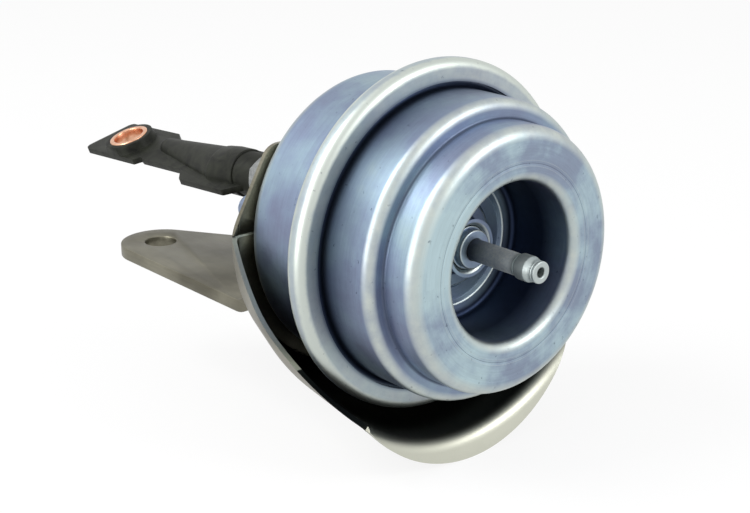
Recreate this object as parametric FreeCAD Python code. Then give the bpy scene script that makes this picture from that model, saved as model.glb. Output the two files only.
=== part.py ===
import FreeCAD, Part
import math
import os
from FreeCAD import Vector

# Vacuum actuator of a variable-geometry turbocharger.
# Lengths are millimetres and angles are degrees.
# Every piece is drawn about the can's own axis, which is the X axis here: X runs
# from the rod's eye to the vacuum nipple, X = 0 is the clamped plane of the
# diaphragm, Y is the side away from the viewer and Z is up.
# Each piece is moved to the part's frame as it is saved.

# Place of the bracket's bolt hole, which is the origin of the part's frame
bolt_hole_x = -65.0
bolt_hole_y = -18.2
arm_top_z = -13.5

# Deep-drawn cans and the rolled rim that joins them. Their radii grow outwards from
# the front can's recess: the spring stands round it, the neck and the piston are
# round the spring, and the can's wall and its rim are outside the neck.
can_sheet = 1.1
cup_radius = 14.55
shoulder_width = 3.5
can_radius_step = 0.1
rim_width = 5.1
rim_bend = 1.8
rim_gap = 0.9
lip_width = 4.05
rear_can_base_x = -19.8
rear_can_corner = 3.0
rear_can_flare = 1.5
front_can_flare = 1.0
shoulder_x = 14.0
shoulder_bend = 2.0
neck_bend = 0.6
face_x = 21.3
face_bend = 2.5
cup_lip_bend = 1.9
cup_floor_x = 6.0
cup_floor_bend = 0.9
floor_ring_step = 0.8
floor_ring_radii = (11.8, 11.2, 8.6, 8.0)
floor_neck_radius = 5.1
floor_neck_x = 9.9
vent_radius = 1.5
vent_circle = 22.0
vent_angles = (65.0, 90.0, 115.0)

# Vacuum nipple and the collar that holds it
nipple_radius = 2.0
nipple_bore = 0.9
nipple_tip_x = 27.2
nipple_neck_length = 1.5
nipple_neck_radius = 1.93
bead_radius = 2.35
bead_length = 3.4
bead_round = 0.8
nipple_groove = 0.3
groove_depth = 0.15
nipple_inner_length = 1.2
collar_radius = 3.66
collar_x = 10.9
collar_shoulder = 1.6
collar_flange_radius = 6.8
collar_flange = 1.2

# Diaphragm, piston and spring
diaphragm_sheet = 1.1
diaphragm_roll_x = -6.0
diaphragm_bend = 2.0
soft_gap = 0.3
piston_sheet = 1.2
piston_bend = 2.2
piston_wall_end_x = -6.0
bump_stop_height = 1.8
bump_stop_radii = (9.5, 14.0)
hub_washer_radius = 7.0
retainer_edge = 1.5
rivet_radius = 4.0
rivet_height = 1.5
spring_wire = 2.2
spring_recess_gap = 2.65
spring_neck_gap = 2.7
spring_turns = 6.5
spring_dead_turns = 0.75
spring_seat = 1.0
seat_ring_inner = 0.7
seat_ring_outer = 2.2

# Rod, its guide and its seal
rod_radius = 3.0
rod_spigot_radius = 2.5
rod_end_x = -62.0
rod_chamfer = 0.6
running_gap = 0.05
press_gap = 0.02
guide_radius = 5.0
guide_flange_radius = 7.5
guide_flange = 1.5
guide_inner_length = 1.5
seal_length = 2.0
seal_radius = 6.5
cap_sheet = 0.8
cap_radius = 8.4
cap_flange_radius = 10.8
cap_hole_radius = 3.6
plate_hole_radius = 11.4

# Studs, washers and nuts behind the can
stud_radius = 2.5
stud_spacing = 39.6
stud_z = 2.3
stud_end_x = -31.0
stud_dome = 1.1
stud_head_radius = 4.5
stud_head = 1.5
stud_clearance = 0.25
washer_radius = 5.0
washer_sheet = 1.0
stud_nut_flats = 8.0
stud_nut_height = 4.0

# Heat shield, a pressed scoop that hangs under the can
shield_sheet = 0.9
shield_rear_gap = 2.2
shield_rear_bend = 2.0
shield_middle_x = -9.0
shield_rim_gap = 1.3
shield_middle_bend = 25.0
shield_front_x = 8.6
shield_front_gap = 3.7
shield_flare_bend = 2.5
shield_flare_reach = 4.4
shield_flare_run = 1.3
shield_side_z = 1.5
shield_side_bend_x = -2.0
shield_side_bend_z = -19.3
shield_near_front_z = -29.8
shield_far_front_z = -26.0
shield_side_round = 8.0
shield_top_z = 17.0
shield_top_half_width = 22.4
shield_flare_near_angle = 38.0
shield_flare_far_angle = 47.0
shield_flare_round = 30.2
shield_flare_round_y = 0.8
shield_flare_depth = 3.7

# Bracket, thick plate bent once between the can's base and the arm
bracket_sheet = 2.5
bracket_bend = 3.0
bracket_far_y = 15.0
bracket_top_z = 13.0
bracket_shoulder_z = 4.0
bracket_half_width = 26.0
bracket_top_half_width = 15.0
bracket_round = 5.0
arm_tip_radius = 8.3
arm_far_angle = 33.0
bolt_hole_radius = 3.3

# Lock nut, plastic rod end, its insert and its bush. The rod end's arm and its round
# socket droop a little from the rod, and the arm is rolled towards the viewer.
# Lengths along the arm are counted from the eye, towards the can.
lock_nut_flats = 10.0
lock_nut_height = 5.0
lock_nut_gap = 0.1
socket_x = -51.3
eye_to_socket = 53.7
arm_roll = 19.0
arm_droop = 3.66
collar_end = 47.6
socket_collar_radius = 4.75
socket_radius = 5.2
socket_round_start = 43.1
socket_start = 38.6
socket_start_half_width = 5.5
socket_start_half_height = 4.5
cone_step = 0.3
cone_start = 13.5
cone_start_y = 2.0
cone_start_radius = 2.2
insert_radius = 3.7
insert_length = 11.0
arm_sheet = 1.35
arm_top = 0.2
eye_boss_radius = 6.2
eye_boss_top_radius = 5.7
eye_boss_top = 2.25
bush_radius = 4.6
bush_bore = 3.55
bush_proud = 0.2
eye_rear_near = -13.4
eye_rear_far = -10.7
eye_near_half_width = 5.5
eye_far_half_width = 7.4
eye_near_front = 8.4
eye_far_front = 10.0
eye_far_slope = 2.5
notch_depth = 1.6
notch_front = 9.6
web_near_half_width = 4.5
web_far_half_width = 5.6
wing_half_width = 7.8
wing_start = 31.0
wing_slope = 4.0
wing_end = 47.1
arm_end = 50.6
arm_corner_round = 1.0
arm_nose_round = 1.6
arm_step_round = 0.5


# Sizes that follow from the ones above
spring_radius = cup_radius + can_sheet + spring_recess_gap + spring_wire / 2
spring_outer = spring_radius + spring_wire / 2
neck_radius = spring_outer + spring_neck_gap + can_sheet
front_can_radius = neck_radius + shoulder_width
rear_can_radius = front_can_radius + can_radius_step
rim_radius = rear_can_radius + rim_width
lip_radius = rim_radius - lip_width
piston_radius = spring_outer + soft_gap + piston_sheet
diaphragm_wrap_radius = piston_radius + soft_gap + diaphragm_sheet
retainer_radius = piston_radius - retainer_edge
shield_rear_radius = rear_can_radius + shield_rear_gap + shield_sheet
shield_middle_radius = rim_radius + shield_rim_gap + shield_sheet
shield_front_radius = rim_radius + shield_front_gap + shield_sheet
shield_flare_round_z = shield_flare_round - shield_front_radius - shield_flare_depth
rim_rear_x = -can_sheet - diaphragm_sheet
front_flange_x = can_sheet
rim_front_x = 2 * can_sheet
flange_edge_radius = rim_radius - can_sheet - rim_gap
base_inner_x = rear_can_base_x + can_sheet
retainer_x = base_inner_x + bump_stop_height + soft_gap
diaphragm_x = retainer_x + piston_sheet
piston_x = diaphragm_x + diaphragm_sheet
piston_front_x = piston_x + piston_sheet
hub_front_x = piston_front_x + piston_sheet
spring_front_x = face_x - can_sheet - spring_seat
cap_x = rear_can_base_x - guide_flange - seal_length - cap_sheet
shield_x = rear_can_base_x - shield_sheet
bracket_x = shield_x - bracket_sheet
washer_x = bracket_x - washer_sheet
stud_nut_x = washer_x - stud_nut_height
lock_nut_x = socket_x + lock_nut_gap
eye_x = socket_x - eye_to_socket
bracket_near_y = bolt_hole_y - arm_tip_radius
AXIS = Vector(1, 0, 0)
ORIGIN = Vector(0, 0, 0)
ALL_ROUND = 360.0
FAR = 100.0


def vector_between(start, end):
    """Unit vector from one point to another."""
    direction = end - start
    return direction.normalize()


def rounded_edges(points, radii, closed):
    """Straight edges through the points, with an arc of the given radius at each corner."""
    count = len(points)
    starts = []
    edges = []
    for index, corner in enumerate(points):
        radius = radii[index]
        is_end = not closed and index in (0, count - 1)
        if radius <= 0 or is_end:
            starts.append((corner, corner))
            continue
        back = vector_between(corner, points[index - 1])
        ahead = vector_between(corner, points[(index + 1) % count])
        half_angle = back.getAngle(ahead) / 2
        reach = radius / math.tan(half_angle)
        inward = Vector(back + ahead).normalize()
        arc_start = corner + back * reach
        arc_end = corner + ahead * reach
        middle = corner + inward * (radius / math.sin(half_angle) - radius)
        edges.append((index, Part.Arc(arc_start, middle, arc_end).toShape()))
        starts.append((arc_start, arc_end))
    last = count if closed else count - 1
    for index in range(last):
        leave = starts[index][1]
        arrive = starts[(index + 1) % count][0]
        if (arrive - leave).Length > 1e-6:
            edges.append((index + 0.5, Part.makeLine(leave, arrive)))
    edges.sort(key=lambda item: item[0])
    return [edge for place, edge in edges]


def rounded_face(corners, to_point):
    """Flat face from corners (a, b, radius), where to_point turns (a, b) into a point."""
    points = [to_point(a, b) for a, b, radius in corners]
    radii = [radius for a, b, radius in corners]
    return Part.Face(Part.Wire(rounded_edges(points, radii, True)))


def in_section(x, radius):
    return Vector(x, 0, radius)


def turned(corners, angle=ALL_ROUND):
    """Solid of revolution about the can's axis, from corners (x, radius, bend)."""
    return rounded_face(corners, in_section).revolve(ORIGIN, AXIS, angle)


def ring(start_x, end_x, inner, outer):
    """Plain ring about the can's axis."""
    return turned([(start_x, inner, 0), (end_x, inner, 0), (end_x, outer, 0), (start_x, outer, 0)])


def sheet_section(path, sheet):
    """Closed outline of a bent sheet.

    The path runs along one face of the sheet, as (x, radius, bend), and the sheet lies
    on its right-hand side. A bend is the radius on the path's own face.
    """
    count = len(path)
    normals = []
    for (x0, r0, bend0), (x1, r1, bend1) in zip(path, path[1:]):
        length = math.hypot(x1 - x0, r1 - r0)
        normals.append(((r1 - r0) / length, -(x1 - x0) / length))
    other_face = []
    for index, (x, r, bend) in enumerate(path):
        before = normals[max(index - 1, 0)]
        after = normals[min(index, count - 2)]
        spread = 1 + before[0] * after[0] + before[1] * after[1]
        shift_x = sheet * (before[0] + after[0]) / spread
        shift_r = sheet * (before[1] + after[1]) / spread
        turn = before[0] * after[1] - before[1] * after[0]
        other_bend = bend
        if bend > 0:
            other_bend = max(bend + math.copysign(sheet, turn), 0)
        other_face.append((x + shift_x, r + shift_r, other_bend))
    return list(path) + other_face[::-1]


def pressed(path, sheet):
    """Pressed or deep-drawn sheet, round about the can's axis."""
    return turned(sheet_section(path, sheet))


def prism(corners, to_point, depth):
    """Rounded outline pushed along a vector."""
    return rounded_face(corners, to_point).extrude(depth)


def side_prism(corners, start_y=-FAR, end_y=FAR):
    """Everything inside an outline (x, z, radius) of the side view."""
    def in_side_view(x, z):
        return Vector(x, start_y, z)
    return prism(corners, in_side_view, Vector(0, end_y - start_y, 0))


def end_prism(corners, start_x, end_x):
    """Outline (y, z, radius) of the end view, between two places along the axis."""
    def in_end_view(y, z):
        return Vector(start_x, y, z)
    return prism(corners, in_end_view, Vector(end_x - start_x, 0, 0))


def rod_along_axis(start_x, end_x, radius, y=0.0, z=0.0):
    """Round bar parallel to the can's axis."""
    return Part.makeCylinder(radius, end_x - start_x, Vector(start_x, y, z), AXIS)


def stud_places():
    return [(side * stud_spacing / 2, stud_z) for side in (-1, 1)]


def stud_holes(start_x, end_x, radius):
    """Two round bars where the studs pass through a plate."""
    bars = [rod_along_axis(start_x, end_x, radius, y, z) for y, z in stud_places()]
    return bars[0].fuse(bars[1])


def hex_nut(start_x, height, flats, bore):
    """Hexagon nut with both faces chamfered, centred on the axis."""
    corner = flats / math.sqrt(3)
    points = []
    for side in range(6):
        angle = math.radians(60 * side)
        points.append(Vector(start_x, corner * math.sin(angle), corner * math.cos(angle)))
    blank = Part.Face(Part.makePolygon(points + [points[0]])).extrude(Vector(height, 0, 0))
    chamfer = corner - flats / 2 * 0.97
    fall = chamfer * math.tan(math.radians(30))
    end_x = start_x + height
    envelope = turned([
        (start_x, bore, 0),
        (start_x, corner - chamfer, 0),
        (start_x + fall, corner, 0),
        (end_x - fall, corner, 0),
        (end_x, corner - chamfer, 0),
        (end_x, bore, 0),
    ])
    return blank.common(envelope)


def rear_can():
    """Rod-side can: flat base, rounded corner and the rim that is rolled over the front can."""
    can = pressed([
        (rear_can_base_x, guide_radius + press_gap, 0),
        (rear_can_base_x, rear_can_radius, rear_can_corner),
        (rim_rear_x, rear_can_radius, rear_can_flare),
        (rim_rear_x, rim_radius, rim_bend),
        (rim_front_x, rim_radius, rim_bend),
        (rim_front_x, lip_radius, 0),
    ], can_sheet)
    can = can.cut(stud_holes(rear_can_base_x - 1, base_inner_x + 1, stud_radius + press_gap))
    for angle in vent_angles:
        y = vent_circle * math.cos(math.radians(angle))
        z = vent_circle * math.sin(math.radians(angle))
        can = can.cut(rod_along_axis(rear_can_base_x - 1, base_inner_x + 1, vent_radius, y, z))
    return can


def front_can():
    """Vacuum-side can: stepped drawing that turns back inside itself to a ringed floor."""
    ring_out, ring_low, ring_in, ring_up = floor_ring_radii
    low_x = cup_floor_x - floor_ring_step
    return pressed([
        (front_flange_x, flange_edge_radius, 0),
        (front_flange_x, front_can_radius, front_can_flare),
        (shoulder_x, front_can_radius, shoulder_bend),
        (shoulder_x, neck_radius, neck_bend),
        (face_x, neck_radius, face_bend),
        (face_x, cup_radius, cup_lip_bend),
        (cup_floor_x, cup_radius, cup_floor_bend),
        (cup_floor_x, ring_out, 0),
        (low_x, ring_low, 0),
        (low_x, ring_in, 0),
        (cup_floor_x, ring_up, 0),
        (cup_floor_x, floor_neck_radius, cup_floor_bend),
        (floor_neck_x, floor_neck_radius, 0),
    ], can_sheet)


def nipple_collar():
    """Turned collar, brazed in the floor's drawn neck, that carries the nipple."""
    neck_bore = floor_neck_radius - can_sheet - press_gap
    flange_front_x = cup_floor_x - can_sheet
    flange_back_x = flange_front_x - collar_flange
    shoulder_start_x = collar_x - collar_shoulder
    bore = nipple_radius + press_gap
    return turned([
        (flange_back_x, bore, 0),
        (collar_x, bore, 0),
        (collar_x, collar_radius, 0.3),
        (shoulder_start_x, collar_radius, 0),
        (shoulder_start_x, neck_bore, 0.2),
        (flange_front_x, neck_bore, 0),
        (flange_front_x, collar_flange_radius, 0),
        (flange_back_x, collar_flange_radius, 0.4),
    ])


def vacuum_nipple():
    """Steel tube with a rolled bead near its tip, where the vacuum hose is pushed on."""
    start_x = cup_floor_x - can_sheet - collar_flange - nipple_inner_length
    neck_x = nipple_tip_x - nipple_neck_length
    bead_x = neck_x - bead_length
    groove_x = bead_x - nipple_groove
    groove_radius = nipple_radius - groove_depth
    return turned([
        (start_x, nipple_bore, 0),
        (nipple_tip_x, nipple_bore, 0.25),
        (nipple_tip_x, nipple_neck_radius, 0.25),
        (neck_x, nipple_neck_radius, 0),
        (neck_x, bead_radius, bead_round),
        (bead_x, bead_radius, bead_round),
        (bead_x, groove_radius, 0),
        (groove_x, groove_radius, 0),
        (groove_x, nipple_radius, 0),
        (start_x, nipple_radius, 0),
    ])


def nipple_lock_ring():
    """Ring staked behind the collar, on the nipple's inner end."""
    collar_back_x = cup_floor_x - can_sheet - collar_flange
    start_x = collar_back_x - nipple_inner_length + 0.2
    return ring(start_x, collar_back_x, nipple_radius + press_gap, collar_radius)


def diaphragm():
    """Rubberised fabric, clamped in the rim and wrapped round the piston, spring extended."""
    return pressed([
        (diaphragm_x, rod_spigot_radius + soft_gap, 0),
        (diaphragm_x, diaphragm_wrap_radius, diaphragm_bend),
        (diaphragm_roll_x, diaphragm_wrap_radius, diaphragm_bend),
        (-diaphragm_sheet, rear_can_radius, diaphragm_bend),
        (-diaphragm_sheet, flange_edge_radius, 0),
    ], diaphragm_sheet)


def piston_cup():
    """Pressed dish that carries the spring and holds the diaphragm's middle flat."""
    return pressed([
        (piston_x, rod_spigot_radius + press_gap, 0),
        (piston_x, piston_radius, piston_bend),
        (piston_wall_end_x, piston_radius, 0),
    ], piston_sheet)


def diaphragm_retainer():
    """Flat disc that clamps the diaphragm from the rod's side."""
    return turned([
        (retainer_x, rod_spigot_radius + press_gap, 0),
        (diaphragm_x, rod_spigot_radius + press_gap, 0),
        (diaphragm_x, retainer_radius, 0),
        (retainer_x, retainer_radius, 0.5),
    ])


def hub_washer():
    """Washer under the riveted head of the rod."""
    return ring(piston_front_x, hub_front_x, rod_spigot_radius + press_gap, hub_washer_radius)


def bump_stop():
    """Rubber ring on the can's base, where the piston comes to rest."""
    inner, outer = bump_stop_radii
    end_x = base_inner_x + bump_stop_height
    return turned([
        (base_inner_x, inner, 0),
        (end_x, inner, 0.5),
        (end_x, outer, 0.5),
        (base_inner_x, outer, 0),
    ])


def actuator_rod():
    """Rod with a stepped and riveted front end and a threaded rear end."""
    return turned([
        (rod_end_x, 0, 0),
        (rod_end_x, rod_radius - rod_chamfer, 0),
        (rod_end_x + rod_chamfer, rod_radius, 0),
        (retainer_x, rod_radius, 0),
        (retainer_x, rod_spigot_radius, 0),
        (hub_front_x, rod_spigot_radius, 0),
        (hub_front_x, rivet_radius, 0),
        (hub_front_x + rivet_height, rivet_radius, rivet_height * 0.9),
        (hub_front_x + rivet_height, 0, 0),
    ])


def spring_point(turn):
    """Middle of the wire after a number of turns, with the end turns wound closer."""
    start_x = piston_front_x + spring_wire / 2
    end_x = spring_front_x - spring_wire / 2
    dead_rise = spring_dead_turns * spring_wire * 1.05
    live_turns = spring_turns - 2 * spring_dead_turns
    live_rise = end_x - start_x - 2 * dead_rise
    if turn < spring_dead_turns:
        rise = dead_rise * turn / spring_dead_turns
    elif turn > spring_turns - spring_dead_turns:
        rise = end_x - start_x - dead_rise * (spring_turns - turn) / spring_dead_turns
    else:
        rise = dead_rise + live_rise * (turn - spring_dead_turns) / live_turns
    angle = 2 * math.pi * turn
    return Vector(start_x + rise, spring_radius * math.cos(angle), spring_radius * math.sin(angle))


def return_spring():
    """Helical spring between the piston and the front can, swept along a smooth curve."""
    steps_each_turn = 12
    count = int(spring_turns * steps_each_turn)
    points = [spring_point(spring_turns * step / count) for step in range(count + 1)]
    curve = Part.BSplineCurve()
    curve.interpolate(points)
    path = Part.Wire(curve.toShape())
    section = Part.Wire(Part.makeCircle(spring_wire / 2, points[0], curve.tangent(0)[0]))
    return path.makePipeShell([section], True, False)


def spring_seat_ring():
    """Flat seat that spreads the spring's load on the front can."""
    inner = spring_radius - seat_ring_inner
    outer = spring_radius + seat_ring_outer
    return ring(spring_front_x, spring_front_x + spring_seat, inner, outer)


def rod_guide_bush():
    """Flanged plain bearing in the middle of the can's base."""
    flange_x = rear_can_base_x - guide_flange
    inner_end_x = base_inner_x + guide_inner_length
    bore = rod_radius + running_gap
    return turned([
        (flange_x, bore, 0.3),
        (inner_end_x, bore, 0),
        (inner_end_x, guide_radius, 0.4),
        (rear_can_base_x, guide_radius, 0),
        (rear_can_base_x, guide_flange_radius, 0),
        (flange_x, guide_flange_radius, 0.3),
    ])


def rod_wiper_seal():
    """Rubber ring that keeps dirt off the guide."""
    end_x = rear_can_base_x - guide_flange
    start_x = end_x - seal_length
    lip = rod_radius + soft_gap
    return turned([
        (start_x, lip, 0.3),
        (end_x, lip + 0.6, 0.3),
        (end_x, seal_radius, 0),
        (start_x, seal_radius, 0.3),
    ])


def guide_cap():
    """Pressed hat, welded to the base, that holds the guide and the seal."""
    flange_x = rear_can_base_x - cap_sheet
    return pressed([
        (cap_x, cap_hole_radius, 0),
        (cap_x, cap_radius, 1.2),
        (flange_x, cap_radius, 0.6),
        (flange_x, cap_flange_radius, 0),
    ], cap_sheet)


def mounting_studs():
    """Two weld studs, their heads inside the can and their threads behind it."""
    studs = []
    for y, z in stud_places():
        stud = turned([
            (stud_end_x, 0, 0),
            (stud_end_x, stud_radius, stud_dome),
            (base_inner_x, stud_radius, 0),
            (base_inner_x, stud_head_radius, 0),
            (base_inner_x + stud_head, stud_head_radius, 0.5),
            (base_inner_x + stud_head, 0, 0),
        ])
        stud.translate(Vector(0, y, z))
        studs.append(stud)
    return Part.makeCompound(studs)


def stud_washers():
    """Plain washer on each stud."""
    washers = []
    for y, z in stud_places():
        washer = ring(washer_x, bracket_x, stud_radius + running_gap, washer_radius)
        washer.translate(Vector(0, y, z))
        washers.append(washer)
    return Part.makeCompound(washers)


def stud_nuts():
    """Hexagon nut on each stud."""
    nuts = []
    for y, z in stud_places():
        nut = hex_nut(stud_nut_x, stud_nut_height, stud_nut_flats, stud_radius + running_gap)
        nut.translate(Vector(0, y, z))
        nuts.append(nut)
    return Part.makeCompound(nuts)


def heat_shield():
    """Stainless scoop: flat back on the can's base, bowl under the can, flared front lip."""
    whole = pressed([
        (shield_x, plate_hole_radius, 0),
        (shield_x, shield_rear_radius, shield_rear_bend),
        (shield_middle_x, shield_middle_radius, shield_middle_bend),
        (shield_front_x, shield_front_radius, shield_flare_bend),
        (shield_front_x + shield_flare_run, shield_front_radius + shield_flare_reach, 0),
    ], shield_sheet)
    flare_x = shield_front_x - 0.8

    def bowl_side(front_z, start_y, end_y):
        """Part of the bowl below its side edge, between two places in Y."""
        return whole.common(side_prism([
            (shield_x - 1, shield_side_z, 0),
            (shield_x + shield_sheet / 2, shield_side_z, 0),
            (shield_side_bend_x, shield_side_bend_z, shield_side_round),
            (flare_x, front_z, 0),
            (flare_x, -FAR, 0),
            (shield_x - 1, -FAR, 0),
        ], start_y, end_y))

    near_bowl = bowl_side(shield_near_front_z, -FAR, 0)
    far_bowl = bowl_side(shield_far_front_z, 0, FAR)
    upper_back = end_prism([
        (-shield_rear_radius, shield_side_z, 0),
        (shield_rear_radius, shield_side_z, 0),
        (shield_top_half_width, shield_top_z, 4.0),
        (-shield_top_half_width, shield_top_z, 4.0),
    ], shield_x - 1, rear_can_base_x + 0.1)
    sides = [(0, 0, 0)]
    for angle in (-shield_flare_near_angle, shield_flare_far_angle):
        turn = math.radians(angle)
        sides.append((FAR * math.sin(turn), -FAR * math.cos(turn), 0))
    wedge = end_prism(sides, flare_x, flare_x + FAR)
    trim = rod_along_axis(
        flare_x, flare_x + FAR, shield_flare_round, shield_flare_round_y, shield_flare_round_z
    )
    back = whole.common(upper_back)
    flare = whole.common(wedge).common(trim)
    shield = near_bowl.fuse(far_bowl).fuse(back).fuse(flare).removeSplitter()
    return shield.cut(stud_holes(shield_x - 1, rear_can_base_x + 1, stud_radius + stud_clearance))


def mounting_bracket():
    """Thick plate bolted behind the shield and bent once into the arm with the bolt hole."""
    inner_x = bracket_x
    section = sheet_section([
        (shield_x, FAR, 0),
        (shield_x, arm_top_z - bracket_sheet, bracket_bend + bracket_sheet),
        (bolt_hole_x - 2 * arm_tip_radius, arm_top_z - bracket_sheet, 0),
    ], bracket_sheet)
    bent = side_prism(section)
    base_outline = end_prism([
        (bracket_near_y, arm_top_z - bracket_sheet - 1, 0),
        (bracket_near_y, arm_top_z + bracket_round, bracket_round),
        (-bracket_half_width, bracket_shoulder_z, bracket_round),
        (-bracket_top_half_width, bracket_top_z, bracket_round),
        (bracket_top_half_width, bracket_top_z, bracket_round),
        (bracket_half_width, bracket_shoulder_z, bracket_round),
        (bracket_half_width, -4.0, bracket_round),
        (bracket_far_y, arm_top_z - bracket_sheet - 1, 0),
    ], inner_x - bracket_bend, shield_x)
    far_angle = math.radians(arm_far_angle)
    touch_x = bolt_hole_x - arm_tip_radius * math.sin(far_angle)
    touch_y = bolt_hole_y + arm_tip_radius * math.cos(far_angle)
    reach_x = inner_x - bracket_bend
    far_y = touch_y + (reach_x - touch_x) * math.tan(far_angle)
    tip_start = Vector(bolt_hole_x, bolt_hole_y - arm_tip_radius, -FAR)
    tip_middle = Vector(bolt_hole_x - arm_tip_radius, bolt_hole_y, -FAR)
    tip_end = Vector(touch_x, touch_y, -FAR)
    corners = [tip_end, Vector(reach_x, far_y, -FAR), Vector(reach_x, bracket_near_y, -FAR), tip_start]
    edges = [Part.makeLine(a, b) for a, b in zip(corners, corners[1:])]
    edges.append(Part.Arc(tip_start, tip_middle, tip_end).toShape())
    arm_outline = Part.Face(Part.Wire(edges)).extrude(Vector(0, 0, 2 * FAR))
    bracket = bent.common(base_outline).fuse(bent.common(arm_outline)).removeSplitter()
    hole_bottom = Vector(bolt_hole_x, bolt_hole_y, arm_top_z - bracket_sheet - 1)
    bolt_hole = Part.makeCylinder(bolt_hole_radius, bracket_sheet + 2, hole_bottom)
    rod_hole = rod_along_axis(bracket_x - 1, shield_x + 1, plate_hole_radius)
    bracket = bracket.cut(bolt_hole).cut(rod_hole)
    return bracket.cut(stud_holes(bracket_x - 1, shield_x + 1, stud_radius + stud_clearance))


def lock_nut():
    """Nut that locks the rod end on the rod's thread."""
    return hex_nut(lock_nut_x, lock_nut_height, lock_nut_flats, rod_radius + running_gap)


def threaded_insert():
    """Brass sleeve moulded into the rod end."""
    return ring(socket_x - insert_length, socket_x, rod_radius + running_gap, insert_radius)


def on_arm(shape):
    """Set a piece, drawn about the eye with its arm along X, to the arm's roll and droop."""
    shape = shape.copy()
    shape.translate(Vector(eye_x, 0, 0))
    shape.rotate(ORIGIN, AXIS, arm_roll)
    shape.rotate(Vector(socket_x, 0, 0), Vector(0, 1, 0), -arm_droop)
    return shape


def eye_bar(radius, low_z, high_z):
    """Round bar through the eye, square to the arm."""
    return Part.makeCylinder(radius, high_z - low_z, Vector(0, 0, low_z))


def arm_section(x, y, half_width, half_height):
    """Elliptical outline across the arm, at a distance from the eye."""
    ellipse = Part.Wire(Part.Ellipse(ORIGIN, half_width, half_height).toShape())
    ellipse.rotate(ORIGIN, Vector(0, 0, 1), 90)
    ellipse.rotate(ORIGIN, Vector(0, 1, 0), 90)
    ellipse.translate(Vector(x, y, 0))
    return ellipse


def arm_plate():
    """Flat of the arm: slanted nose, eye, notch, web and two wings beside the socket."""
    outline = [
        (eye_rear_near, -eye_near_half_width, arm_nose_round),
        (eye_near_front, -eye_near_half_width, arm_step_round),
        (notch_front, notch_depth - eye_near_half_width, arm_step_round),
        (notch_front + notch_depth, -web_near_half_width, arm_step_round),
        (wing_start - wing_slope, -web_near_half_width, arm_corner_round),
        (wing_start, -wing_half_width, arm_corner_round),
        (wing_end, -wing_half_width, arm_corner_round),
        (arm_end, -web_near_half_width, arm_corner_round),
        (arm_end, web_near_half_width, arm_corner_round),
        (wing_end, wing_half_width, arm_corner_round),
        (wing_start + wing_slope, wing_half_width, arm_corner_round),
        (wing_start, web_far_half_width, arm_corner_round),
        (eye_far_front + eye_far_slope, web_far_half_width, arm_step_round),
        (eye_far_front, eye_far_half_width, arm_step_round),
        (eye_rear_far, eye_far_half_width, arm_nose_round),
    ]

    def on_underside(x, y):
        return Vector(x, y, arm_top - arm_sheet)
    return prism(outline, on_underside, Vector(0, 0, arm_sheet))


def eye_boss():
    """Tapered boss that stands on the arm round the bush, cut flush with the near edge."""
    boss = Part.makeCone(eye_boss_radius, eye_boss_top_radius, eye_boss_top - arm_top)
    boss.translate(Vector(0, 0, arm_top))
    past_edge = Part.makeBox(4 * eye_boss_radius, FAR, FAR)
    past_edge.translate(Vector(-2 * eye_boss_radius, -eye_near_half_width - FAR, -FAR / 2))
    return boss.cut(past_edge)


def rod_end():
    """Moulded rod end: flat arm with a bossed eye, and a cone that swells into the socket."""
    nose = Part.makeSphere(cone_start_radius, Vector(cone_start, cone_start_y, 0))
    cone = Part.makeLoft([
        arm_section(cone_start, cone_start_y, cone_start_radius, cone_start_radius),
        arm_section(
            socket_start, 0, socket_start_half_width - cone_step, socket_start_half_height - cone_step
        ),
    ], True)
    swell = Part.makeLoft([
        arm_section(socket_start, 0, socket_start_half_width, socket_start_half_height),
        arm_section(socket_round_start, 0, socket_radius, socket_radius),
    ], True)
    socket = turned([
        (socket_round_start, 0, 0),
        (socket_round_start, socket_radius, 0),
        (collar_end, socket_radius, 0.4),
        (collar_end, socket_collar_radius, 0),
        (eye_to_socket + 1, socket_collar_radius, 0),
        (eye_to_socket + 1, 0, 0),
    ])
    body = on_arm(arm_plate().fuse([eye_boss(), nose, cone, swell, socket]))
    beyond_face = rod_along_axis(socket_x, socket_x + 2, 2 * socket_radius)
    insert_hole = rod_along_axis(socket_x - insert_length, socket_x, insert_radius + press_gap)
    bush_hole = on_arm(eye_bar(bush_radius + press_gap, -FAR, FAR))
    return body.cut(beyond_face).cut(insert_hole).cut(bush_hole)


def pivot_bush():
    """Copper-alloy bush in the eye, which turns on the lever's pin."""
    low_z = arm_top - arm_sheet - bush_proud
    high_z = eye_boss_top + bush_proud
    return on_arm(eye_bar(bush_radius, low_z, high_z).cut(eye_bar(bush_bore, -FAR, FAR)))


pieces = {
    "rear_can": rear_can,
    "front_can": front_can,
    "nipple_collar": nipple_collar,
    "vacuum_nipple": vacuum_nipple,
    "nipple_lock_ring": nipple_lock_ring,
    "diaphragm": diaphragm,
    "piston_cup": piston_cup,
    "diaphragm_retainer": diaphragm_retainer,
    "hub_washer": hub_washer,
    "bump_stop": bump_stop,
    "actuator_rod": actuator_rod,
    "return_spring": return_spring,
    "spring_seat_ring": spring_seat_ring,
    "rod_guide_bush": rod_guide_bush,
    "rod_wiper_seal": rod_wiper_seal,
    "guide_cap": guide_cap,
    "mounting_studs": mounting_studs,
    "stud_washers": stud_washers,
    "stud_nuts": stud_nuts,
    "heat_shield": heat_shield,
    "mounting_bracket": mounting_bracket,
    "lock_nut": lock_nut,
    "threaded_insert": threaded_insert,
    "rod_end": rod_end,
    "pivot_bush": pivot_bush,
}

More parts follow.
